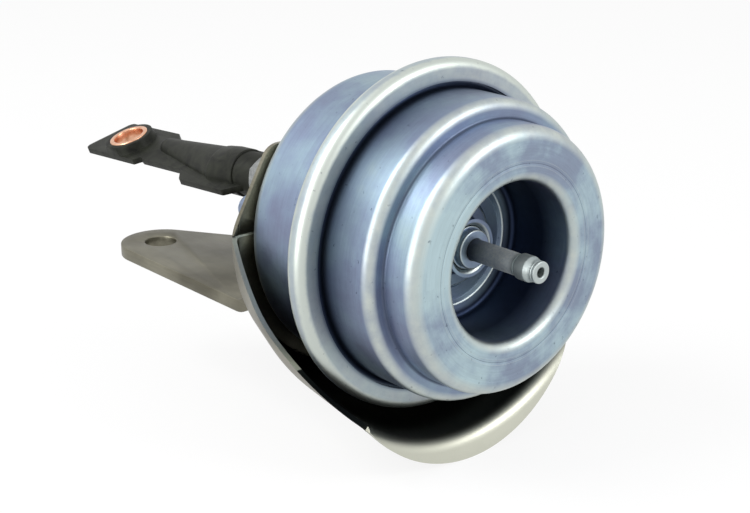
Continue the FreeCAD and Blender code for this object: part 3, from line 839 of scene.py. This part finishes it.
# Cut edges of the shield get this share of painted highlight.
cut_edge_highlight = 0.6
bracket_edge = 0.25 * MM
shield = eased_copy("heat_shield", "shield_scoop")
inner_side = shield.data.attributes.new("inside", "FLOAT", "FACE")
cut_edges = shield.data.attributes.new("cut_edge", "FLOAT", "FACE")
for face in shield.data.polygons:
    outward = Vector((0, face.center.y - axis_y, face.center.z - axis_z)).normalized()
    facing = face.normal.dot(outward)
    inner_side.data[face.index].value = 1.0 if facing < -radial_share else 0.0
    ahead_of_plate = face.center.x > shield_low.x + back_plate_depth
    on_edge = abs(facing) < radial_share and ahead_of_plate
    cut_edges.data[face.index].value = cut_edge_highlight if on_edge else 0.0
dress(shield, "actuator_body", mill_stainless, "heat_shield")
bracket = eased_copy("mounting_bracket", "bracket_plate", bracket_edge)
dress(bracket, "actuator_body", mill_stainless, "mounting_bracket")


# Studs, washers and nuts: two M5 studs are pressed into the can's base with their heads
# inside, and flat washers and hexagon nuts hold the shield and the bracket on them. All
# are steel, plated as the can is.


def new_tree(name, **sizes):
    """Node tree for a shape, with named inputs, and the sockets that hand them in."""
    tree = bpy.data.node_groups.new(name, "GeometryNodeTree")
    tree.interface.new_socket("Geometry", in_out="OUTPUT", socket_type="NodeSocketGeometry")
    for label, kind in sizes.items():
        tree.interface.new_socket(label, in_out="INPUT", socket_type="NodeSocket" + kind)
    return tree, add_node(tree, "NodeGroupInput").outputs


def end_tree(tree, shape, given):
    """Lay the shape along X, repeat it across Y, realize the copies and set the material."""
    laid = add_node(
        tree, "GeometryNodeTransform", {"Geometry": shape, "Rotation": (0, math.pi / 2, 0)}
    )
    apart = add_node(tree, "ShaderNodeCombineXYZ", {"Y": given["Spacing"]})
    row = add_node(
        tree,
        "GeometryNodeMeshLine",
        {"Count": given["Count"], "Start Location": given["First"], "Offset": apart.outputs[0]},
    )
    copies = add_node(
        tree,
        "GeometryNodeInstanceOnPoints",
        {"Points": row.outputs["Mesh"], "Instance": laid.outputs["Geometry"]},
    )
    real = add_node(tree, "GeometryNodeRealizeInstances", {"Geometry": copies.outputs["Instances"]})
    coated = add_node(
        tree,
        "GeometryNodeSetMaterial",
        {"Geometry": real.outputs["Geometry"], "Material": given["Material"]},
    )
    add_node(tree, "NodeGroupOutput", {"Geometry": coated.outputs["Geometry"]})


nut_crease = 30.0


def grown(name, tree, edge=0.0, **sizes):
    """Plain mesh object made by a tree from the sizes given to its inputs."""
    piece = finished(name, bmesh.new())
    growth = piece.modifiers.new("growth", "NODES")
    growth.node_group = tree
    for socket in tree.interface.items_tree:
        if socket.in_out == "INPUT":
            growth[socket.identifier] = sizes[socket.name]
    if edge:
        break_edges(piece, edge, nut_crease)
    return settled(piece)


def joined(name, *pieces):
    """One object made of several, which are then gone."""
    shape = bmesh.new()
    for piece in pieces:
        shape.from_mesh(piece.data)
        bpy.data.objects.remove(piece)
    return finished(name, shape)


# Threaded bar: a cylinder whose surface is cut by a helix, with chamfered ends. The thread
# runs out over one pitch at the end of its length.
# A pitch has this many rings. Crest and root are flat for these shares of a pitch.
rings_per_pitch = 12
bar_sides = 48
thread_crest_share = 0.06
thread_root_share = 0.42
threaded_bar, given = new_tree(
    "threaded bar",
    Radius="Float",
    Length="Float",
    Pitch="Float",
    Depth="Float",
    Threaded="Float",
    Chamfer="Float",
    First="Vector",
    Spacing="Float",
    Count="Int",
    Material="Material",
)
tree = threaded_bar
pitches = add_node(
    tree, "ShaderNodeMath", {0: given["Length"], 1: given["Pitch"]}, operation="DIVIDE"
)
rings = add_node(
    tree, "ShaderNodeMath", {0: pitches.outputs[0], 1: rings_per_pitch}, operation="MULTIPLY"
)
bar = add_node(
    tree,
    "GeometryNodeMeshCylinder",
    {
        "Vertices": bar_sides,
        "Side Segments": rings.outputs[0],
        "Radius": given["Radius"],
        "Depth": given["Length"],
    },
)
position = add_node(tree, "GeometryNodeInputPosition")
place = add_node(tree, "ShaderNodeSeparateXYZ", {"Vector": position.outputs[0]})
half = add_node(tree, "ShaderNodeMath", {0: given["Length"], 1: 0.5}, operation="MULTIPLY")
from_end = add_node(
    tree, "ShaderNodeMath", {0: place.outputs["Z"], 1: half.outputs[0]}, operation="ADD"
)
to_end = add_node(
    tree, "ShaderNodeMath", {0: given["Length"], 1: from_end.outputs[0]}, operation="SUBTRACT"
)
angle = add_node(
    tree, "ShaderNodeMath", {0: place.outputs["Y"], 1: place.outputs["X"]}, operation="ARCTAN2"
)
turns = add_node(tree, "ShaderNodeMath", {0: angle.outputs[0], 1: 2 * math.pi}, operation="DIVIDE")
advance = add_node(
    tree, "ShaderNodeMath", {0: from_end.outputs[0], 1: given["Pitch"]}, operation="DIVIDE"
)
phase = add_node(
    tree, "ShaderNodeMath", {0: advance.outputs[0], 1: turns.outputs[0]}, operation="SUBTRACT"
)
flank = add_node(tree, "ShaderNodeMath", {0: phase.outputs[0], 1: 0.5}, operation="PINGPONG")
groove = add_node(
    tree,
    "ShaderNodeMapRange",
    {
        "Value": flank.outputs[0],
        "From Min": thread_crest_share,
        "From Max": thread_root_share,
        "To Max": given["Depth"],
    },
)
last_pitch = add_node(
    tree, "ShaderNodeMath", {0: given["Threaded"], 1: given["Pitch"]}, operation="SUBTRACT"
)
run_out = add_node(
    tree,
    "ShaderNodeMapRange",
    {
        "Value": from_end.outputs[0],
        "From Min": given["Threaded"],
        "From Max": last_pitch.outputs[0],
    },
)
cut = add_node(
    tree, "ShaderNodeMath", {0: groove.outputs[0], 1: run_out.outputs[0]}, operation="MULTIPLY"
)
cut_radius = add_node(
    tree, "ShaderNodeMath", {0: given["Radius"], 1: cut.outputs[0]}, operation="SUBTRACT"
)
near_end = add_node(
    tree, "ShaderNodeMath", {0: from_end.outputs[0], 1: to_end.outputs[0]}, operation="MINIMUM"
)
end_radius = add_node(
    tree, "ShaderNodeMath", {0: given["Radius"], 1: given["Chamfer"]}, operation="SUBTRACT"
)
chamfered = add_node(
    tree, "ShaderNodeMath", {0: end_radius.outputs[0], 1: near_end.outputs[0]}, operation="ADD"
)
new_radius = add_node(
    tree, "ShaderNodeMath", {0: cut_radius.outputs[0], 1: chamfered.outputs[0]}, operation="MINIMUM"
)
shrink = add_node(
    tree, "ShaderNodeMath", {0: new_radius.outputs[0], 1: given["Radius"]}, operation="DIVIDE"
)
only_across = add_node(
    tree,
    "ShaderNodeCombineXYZ",
    {"X": shrink.outputs[0], "Y": shrink.outputs[0], "Z": 1.0},
)
new_place = add_node(
    tree,
    "ShaderNodeVectorMath",
    {0: position.outputs[0], 1: only_across.outputs[0]},
    operation="MULTIPLY",
)
cut_bar = add_node(
    tree,
    "GeometryNodeSetPosition",
    {"Geometry": bar.outputs["Mesh"], "Position": new_place.outputs[0]},
)
end_tree(tree, cut_bar.outputs["Geometry"], given)

# Bored blank: a nut or washer. Two cones turn down its corners and a drill bores it. The
# cones and the drill reach past both faces by a share of the height.
corner_slope = math.tan(math.radians(60))
overrun = 0.1
cone_sides = 96
drill_sides = 64
bored_blank, given = new_tree(
    "bored blank",
    Sides="Int",
    Across="Float",
    Height="Float",
    Face="Float",
    Bore="Float",
    First="Vector",
    Spacing="Float",
    Count="Int",
    Material="Material",
)
tree = bored_blank
side_angle = add_node(tree, "ShaderNodeMath", {0: math.pi, 1: given["Sides"]}, operation="DIVIDE")
side_cosine = add_node(tree, "ShaderNodeMath", {0: side_angle.outputs[0]}, operation="COSINE")
half_across = add_node(tree, "ShaderNodeMath", {0: given["Across"], 1: 0.5}, operation="MULTIPLY")
corner = add_node(
    tree,
    "ShaderNodeMath",
    {0: half_across.outputs[0], 1: side_cosine.outputs[0]},
    operation="DIVIDE",
)
blank = add_node(
    tree,
    "GeometryNodeMeshCylinder",
    {"Vertices": given["Sides"], "Radius": corner.outputs[0], "Depth": given["Height"]},
)
over = add_node(tree, "ShaderNodeMath", {0: given["Height"], 1: overrun}, operation="MULTIPLY")
cone_height = add_node(
    tree, "ShaderNodeMath", {0: given["Height"], 1: 1 + 2 * overrun}, operation="MULTIPLY"
)
narrow = add_node(
    tree,
    "ShaderNodeMath",
    {0: over.outputs[0], 1: -corner_slope, 2: given["Face"]},
    operation="MULTIPLY_ADD",
)
wide = add_node(
    tree,
    "ShaderNodeMath",
    {0: cone_height.outputs[0], 1: corner_slope, 2: narrow.outputs[0]},
    operation="MULTIPLY_ADD",
)
cone = add_node(
    tree,
    "GeometryNodeMeshCone",
    {
        "Vertices": cone_sides,
        "Radius Top": narrow.outputs[0],
        "Radius Bottom": wide.outputs[0],
        "Depth": cone_height.outputs[0],
    },
)
half_down = add_node(
    tree, "ShaderNodeMath", {0: cone_height.outputs[0], 1: -0.5}, operation="MULTIPLY"
)
down = add_node(tree, "ShaderNodeCombineXYZ", {"Z": half_down.outputs[0]})
upper_cone = add_node(
    tree,
    "GeometryNodeTransform",
    {"Geometry": cone.outputs["Mesh"], "Translation": down.outputs[0]},
)
lower_cone = add_node(
    tree,
    "GeometryNodeTransform",
    {"Geometry": upper_cone.outputs["Geometry"], "Rotation": (math.pi, 0, 0)},
)
turned_down = add_node(
    tree,
    "GeometryNodeMeshBoolean",
    {"Mesh 2": blank.outputs["Mesh"]},
    operation="INTERSECT",
    solver="EXACT",
)
tree.links.new(upper_cone.outputs["Geometry"], turned_down.inputs["Mesh 2"])
tree.links.new(lower_cone.outputs["Geometry"], turned_down.inputs["Mesh 2"])
drill = add_node(
    tree,
    "GeometryNodeMeshCylinder",
    {"Vertices": drill_sides, "Radius": given["Bore"], "Depth": cone_height.outputs[0]},
)
bored = add_node(
    tree,
    "GeometryNodeMeshBoolean",
    {"Mesh 1": turned_down.outputs["Mesh"], "Mesh 2": drill.outputs["Mesh"]},
    operation="DIFFERENCE",
    solver="EXACT",
)
end_tree(tree, bored.outputs["Mesh"], given)

# Two studs, one on each side of the rod. Their heads are inside the can.
stud_spacing = 39.6 * MM
stud_radius = 2.5 * MM
stud_pitch = 0.8 * MM
stud_thread_depth = 0.45 * MM
stud_plain_length = 1.0 * MM
stud_tip_chamfer = 0.5 * MM
stud_head_length = 1.5 * MM
stud_head_chamfer = 0.2 * MM
stud_low, stud_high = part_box("mounting_studs")
stud_z = (stud_low.z + stud_high.z) / 2
stud_head_width = stud_high.y - stud_low.y - stud_spacing
first_stud_y = axis_y - stud_spacing / 2
stud_length = stud_high.x - stud_low.x - stud_head_length
pair = {"Spacing": stud_spacing, "Count": 2, "Material": passivated_zinc}
stud_bars = grown(
    "stud_bars",
    threaded_bar,
    Radius=stud_radius,
    Length=stud_length,
    Pitch=stud_pitch,
    Depth=stud_thread_depth,
    Threaded=stud_length - stud_plain_length,
    Chamfer=stud_tip_chamfer,
    First=(stud_low.x + stud_length / 2, first_stud_y, stud_z),
    **pair,
)
stud_heads = grown(
    "stud_heads",
    threaded_bar,
    Radius=stud_head_width / 2,
    Length=stud_head_length,
    Pitch=stud_pitch,
    Depth=0.0,
    Threaded=0.0,
    Chamfer=stud_head_chamfer,
    First=(stud_high.x - stud_head_length / 2, first_stud_y, stud_z),
    **pair,
)
studs = joined("mounting_stud_pair", stud_bars, stud_heads)
dress(studs, "actuator_body", passivated_zinc, "mounting_studs")

# Washers and nuts, one of each on a stud.
hexagon = 6
round_sides = 64
washer_face = 9.8 * MM
nut_face = 7.7 * MM
fastener_edge = 0.08 * MM
stud_clearance = 0.05 * MM
for node, name, sides, face_width in (
    ("stud_washers", "stud_washer_pair", round_sides, washer_face),
    ("stud_nuts", "stud_nut_pair", hexagon, nut_face),
):
    low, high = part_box(node)
    fastener = grown(
        name,
        bored_blank,
        fastener_edge,
        Sides=sides,
        Across=high.y - low.y - stud_spacing,
        Height=high.x - low.x,
        Face=face_width / 2,
        Bore=stud_radius + stud_clearance,
        First=((low.x + high.x) / 2, first_stud_y, stud_z),
        **pair,
    )
    dress(fastener, "actuator_body", passivated_zinc, node)


# Rod and lock nut: the rod is a 6 mm steel bar, threaded M6 at its free end and turned down
# and riveted at its hub. The nut jams against the rod end. Both are zinc-plated.


def mottled(name, metallic, roughness, patch, detail, tones, dent=0.0):
    """Finish of two tones in patches of a size in mm, with fine dents where asked."""
    material, tree, shader, in_mm = new_finish(name, metallic, roughness)
    patches = add_node(
        tree, "ShaderNodeTexNoise", {"Vector": in_mm, "Scale": 1 / patch, "Detail": detail}
    )
    tone = add_node(tree, "ShaderNodeValToRGB", {"Fac": patches.outputs["Fac"]})
    set_ramp(tone, [(0.3, tones[0]), (0.7, tones[1])])
    tree.links.new(tone.outputs["Color"], shader.inputs["Base Color"])
    if dent:
        relief = add_node(
            tree,
            "ShaderNodeBump",
            {"Strength": 0.15, "Distance": dent, "Height": patches.outputs["Fac"]},
        )
        tree.links.new(relief.outputs["Normal"], shader.inputs["Normal"])
    return material


# Bright zinc: pale and cool, with a fine spangle. Sizes are in mm.
spangle_size = 1.25
spangle_depth = 0.03 * MM
bright_zinc = mottled(
    "bright zinc plate", 1.0, 0.26, spangle_size, 5.0, ("7E8181", "A3A5A4"), spangle_depth
)

nut_low, nut_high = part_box("lock_nut")
nut_width = nut_high.y - nut_low.y
nut_corner_cut = 0.2 * MM
nut_edge = 0.1 * MM
rod_low, rod_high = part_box("actuator_rod")
rod_radius = 3.0 * MM
rod_pitch = 1.0 * MM
rod_thread_depth = 0.55 * MM
rod_tip_chamfer = 0.6 * MM
thread_end_x = 24.0 * MM
spigot_radius = 2.5 * MM
rivet_radius = (rod_high.z - rod_low.z) / 2
rivet_chamfer = 0.4 * MM
rod_clearance = 0.05 * MM
shank_end_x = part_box("diaphragm_retainer")[0].x
hub_end_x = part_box("hub_washer")[1].x
single = {"Spacing": 0.0, "Count": 1, "Material": bright_zinc}
lock_nut = grown(
    "rod_lock_nut",
    bored_blank,
    nut_edge,
    Sides=hexagon,
    Across=nut_width,
    Height=nut_high.x - nut_low.x,
    Face=nut_width / 2 - nut_corner_cut,
    Bore=rod_radius + rod_clearance,
    First=((nut_low.x + nut_high.x) / 2, axis_y, axis_z),
    **single,
)
dress(lock_nut, "lock_nut", bright_zinc, "lock_nut")
rod_parts = []
for name, start_x, end_x, radius, thread_depth, chamfer in (
    ("rod_shank", rod_low.x, shank_end_x, rod_radius, rod_thread_depth, rod_tip_chamfer),
    ("rod_spigot", shank_end_x, hub_end_x, spigot_radius, 0.0, 0.0),
    ("rod_rivet", hub_end_x, rod_high.x, rivet_radius, 0.0, rivet_chamfer),
):
    rod_part = grown(
        name,
        threaded_bar,
        Radius=radius,
        Length=end_x - start_x,
        Pitch=rod_pitch,
        Depth=thread_depth,
        Threaded=thread_end_x - rod_low.x,
        Chamfer=chamfer,
        First=((start_x + end_x) / 2, axis_y, axis_z),
        **single,
    )
    rod_parts.append(rod_part)
rod = joined("rod_bar", *rod_parts)
dress(rod, "rod_assembly", bright_zinc, "actuator_rod")


# Rod end: moulded in glass-filled nylon over a brass insert, with a bearing bush of
# copper-coloured bronze in its eye.

# Glass-filled nylon: charcoal, dull, with a fine fibre grain and soft flow marks, both as
# coarse as the render can show. Sizes are in mm.
flow_size = 4.0
fibre_size = 0.2857
fibre_depth = 0.05 * MM
moulding_edge = 0.3 * MM
moulding_crease = 30.0
filled_nylon, tree, shader, in_mm = new_finish("glass filled nylon", 0.0, 0.5)
flow = add_node(
    tree,
    "ShaderNodeTexNoise",
    {"Vector": in_mm, "Scale": 1 / flow_size, "Detail": 5.0, "Distortion": 1.5},
)
nylon_tone = add_node(tree, "ShaderNodeValToRGB", {"Fac": flow.outputs["Fac"]})
set_ramp(nylon_tone, [(0.3, "10110E"), (0.7, "24261F")])
tree.links.new(nylon_tone.outputs["Color"], shader.inputs["Base Color"])
shader.inputs["Specular IOR Level"].default_value = 0.15
fibres = add_node(
    tree,
    "ShaderNodeTexNoise",
    {"Vector": in_mm, "Scale": 1 / fibre_size, "Detail": 4.0, "Roughness": 0.6},
)
relief = add_node(
    tree,
    "ShaderNodeBump",
    {"Strength": 0.25, "Distance": fibre_depth, "Height": fibres.outputs["Fac"]},
)
tree.links.new(relief.outputs["Normal"], shader.inputs["Normal"])

moulding = eased_copy("rod_end", "rod_end_moulding", moulding_edge, moulding_crease)
dress(moulding, "rod_end", filled_nylon, "rod_end")

# Copper-coloured bearing bronze: orange, burnished in soft patches. Sizes are in mm.
burnish_size = 1.111
bush_edge = 0.2 * MM
bearing_bronze = mottled("bearing bronze", 1.0, 0.28, burnish_size, 4.0, ("CE9878", "EDC0A4"))
bush = eased_copy("pivot_bush", "rod_end_bush", bush_edge)
dress(bush, "rod_end", bearing_bronze, "pivot_bush")

# Turned brass of the insert: yellow, with a fine grain. Sizes are in mm.
brass_grain = 0.6667
insert_edge = 0.15 * MM
turned_brass = mottled("turned brass", 1.0, 0.3, brass_grain, 4.0, ("93743D", "B2935B"))
insert = eased_copy("threaded_insert", "rod_end_insert", insert_edge)
dress(insert, "rod_end", turned_brass, "threaded_insert")


# Rod guide at the can's base: a pressed cap holds a bronze bush that the rod slides in, and
# a rubber seal that wipes the rod.

# Nitrile rubber: black and dull, with a faint bloom. Its size is in mm.
bloom_size = 1.667
nitrile = mottled("nitrile rubber", 0.0, 0.7, bloom_size, 4.0, ("141414", "242424"))


def coat(node, material):
    """Give a hidden CAD piece its finish, where it is."""
    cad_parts[node].data.materials.clear()
    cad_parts[node].data.materials.append(material)


cap_edge = 0.1 * MM
guide_hat = eased_copy("guide_cap", "guide_hat", cap_edge)
dress(guide_hat, "actuator_body", passivated_zinc, "guide_cap")
coat("rod_guide_bush", bearing_bronze)
coat("rod_wiper_seal", nitrile)


# Inner parts of the closed can: steel pressings about the hub, the spring's seat ring, the
# nipple's lock ring and a rubber bump stop. They keep their solids.

coat("bump_stop", nitrile)
for node in (
    "piston_cup",
    "diaphragm_retainer",
    "hub_washer",
    "spring_seat_ring",
    "nipple_lock_ring",
):
    coat(node, drawn_steel)


# Return spring and diaphragm: the spring is coiled from wire, and the diaphragm is moulded
# from rubber on fabric. Both shorten as the rod is drawn in; here each is a copy of its solid.

# Oil-tempered spring wire: dark, smooth and even. The tint's size is in mm.
temper_size = 2.0
tempered_wire = mottled("oil tempered wire", 1.0, 0.35, temper_size, 3.0, ("303235", "474A4D"))

spring_end_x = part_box("return_spring")[1].x
for node, name, slot, material, fixed_x in (
    ("return_spring", "return_coil", "spring_steel", tempered_wire, spring_end_x),
    ("diaphragm", "rolling_diaphragm", "rubber", nitrile, clamp_x),
):
    soft_piece = eased_copy(node, name)
    dress(soft_piece, "actuator_body", material, node)
    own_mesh(soft_piece)


# Floor and surround: white paper under the part and white all round it, both shown as white
# to the camera and in the metal. The floor keeps the part's shadow.

floor_size = 8.0
floor_glow = 0.85
fill_strength = 0.6
white = linear("FFFFFF")


def backdrop_share(tree):
    """1 for rays that show the backdrop: from the camera, off metal or through glass."""
    ray = add_node(tree, "ShaderNodeLightPath")
    shown = add_node(
        tree,
        "ShaderNodeMath",
        {0: ray.outputs["Is Camera Ray"], 1: ray.outputs["Is Glossy Ray"]},
        operation="MAXIMUM",
    )
    shown_too = add_node(
        tree,
        "ShaderNodeMath",
        {0: shown.outputs["Value"], 1: ray.outputs["Is Transmission Ray"]},
        operation="MAXIMUM",
    )
    return shown_too.outputs["Value"]


bpy.ops.mesh.primitive_plane_add(size=floor_size, location=(0, 0, cad_box[0].z))
floor = bpy.context.object
floor.name = "studio_floor"
white_paper = bpy.data.materials.new("white seamless paper")
white_paper.use_nodes = True
tree = white_paper.node_tree
tree.nodes.clear()
paper = add_node(tree, "ShaderNodeBsdfDiffuse", {"Color": linear("F4F4F4")})
glow = add_node(tree, "ShaderNodeEmission", {"Color": white, "Strength": 1.0})
lit_paper = add_node(
    tree, "ShaderNodeMixShader", {"Fac": floor_glow, 1: paper.outputs[0], 2: glow.outputs[0]}
)
seen = add_node(
    tree,
    "ShaderNodeMixShader",
    {"Fac": backdrop_share(tree), 1: paper.outputs[0], 2: lit_paper.outputs[0]},
)
add_node(tree, "ShaderNodeOutputMaterial", {"Surface": seen.outputs[0]})
floor.data.materials.append(white_paper)

world = bpy.data.worlds.new("studio surround")
bpy.context.scene.world = world
world.use_nodes = True
tree = world.node_tree
tree.nodes.clear()
fill_light = add_node(tree, "ShaderNodeBackground", {"Color": white, "Strength": fill_strength})
backdrop = add_node(tree, "ShaderNodeBackground", {"Color": white, "Strength": 1.0})
surround = add_node(
    tree,
    "ShaderNodeMixShader",
    {"Fac": backdrop_share(tree), 1: fill_light.outputs[0], 2: backdrop.outputs[0]},
)
add_node(tree, "ShaderNodeOutputWorld", {"Surface": surround.outputs[0]})


# Lamps: a soft key lamp above the rod's side, a weaker one behind the nipple's side and a
# low one in front, all turned to the middle of the can. Places and widths are in metres
# and powers in watts.

can_middle = Vector((clamp_x, axis_y, axis_z))
for name, place, width, power in (
    ("key_lamp", Vector((-0.15, -0.45, 0.55)), 0.35, 3.5),
    ("side_lamp", Vector((0.55, 0.25, 0.35)), 0.3, 1.6),
    ("low_lamp", Vector((0.05, -0.5, 0.08)), 0.3, 1.2),
):
    lamp = bpy.data.lights.new(name, "AREA")
    lamp.size = width
    lamp.energy = power
    light = bpy.data.objects.new(name, lamp)
    light.location = place
    light.rotation_euler = (can_middle - place).to_track_quat("-Z", "Y").to_euler()
    bpy.context.scene.collection.objects.link(light)


# Camera: a 72 mm lens on a full frame, on the nipple's side of the can and above it. The
# angles and the distance are those at which the outlines fit the photograph.

camera_azimuth = math.radians(49.62)
camera_elevation = math.radians(18.81)
camera_distance = 260.0 * MM
camera_aim = Vector((70.5, -0.7, 15.0)) * MM
lens = 72.0
sensor_width = 36.0
back = Vector(
    (
        math.sin(camera_azimuth) * math.cos(camera_elevation),
        -math.cos(camera_azimuth) * math.cos(camera_elevation),
        math.sin(camera_elevation),
    )
)
camera_data = bpy.data.cameras.new("camera")
camera_data.lens = lens
camera_data.sensor_width = sensor_width
camera = bpy.data.objects.new("camera", camera_data)
camera.location = camera_aim + back * camera_distance
camera.rotation_euler = (-back).to_track_quat("-Z", "Y").to_euler()
bpy.context.scene.collection.objects.link(camera)
bpy.context.scene.camera = camera
bpy.context.scene.view_settings.view_transform = "Standard"
